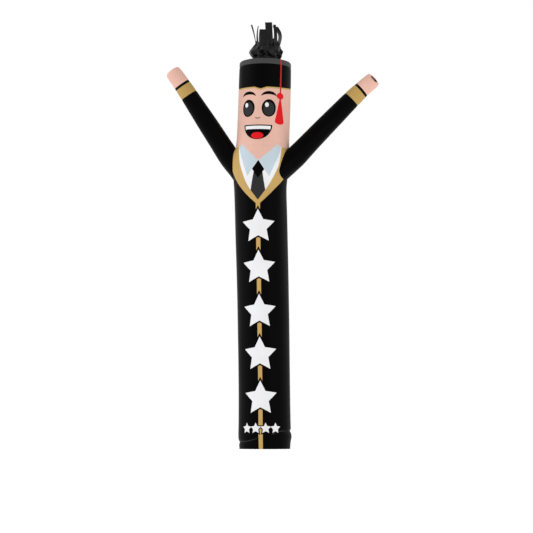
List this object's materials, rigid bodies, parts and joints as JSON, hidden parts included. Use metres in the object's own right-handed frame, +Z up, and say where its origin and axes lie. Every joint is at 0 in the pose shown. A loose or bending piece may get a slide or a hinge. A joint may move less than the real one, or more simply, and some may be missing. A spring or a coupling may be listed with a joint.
{
  "type": "inflatable air dancer",
  "caption": "Blown-up cloth tube figure in graduate dress: gown, head, flat-topped cap with cut film hair, and raised sleeves with open hands, standing on its open hem.",
  "frame": {"origin": "on the floor, under the middle of the dancer's width and depth; the middle of the hem is 33 mm towards -X", "axes": "+Z up the tube; -Y is the dressed front; the arms rise towards +X and -X, and the +X arm is the one called right"},
  "size_m": [0.9211, 0.2288, 1.8501],
  "materials": {
    "gown_black": "coated nylon, satin",
    "skin_tone": "coated nylon, satin",
    "cap_black": "coated nylon, satin",
    "rim_grey": "coated nylon, satin",
    "cuff_gold": "coated nylon, satin",
    "hair_film": "thin crumpled film, slightly shiny"
  },
  "bodies": {
    "root": {"gown_tube": "gown_black", "head_panel": "skin_tone", "cap_band": "cap_black", "cap_rim": "rim_grey", "cap_top": "cap_black", "hair_streamers": "hair_film", "sleeve_right": "gown_black", "cuff_right": "cuff_gold", "cuff_band_right": "cap_black", "hand_right": "skin_tone", "sleeve_left": "gown_black", "cuff_left": "cuff_gold", "cuff_band_left": "cap_black", "hand_left": "skin_tone"}
  },
  "joints": []
}
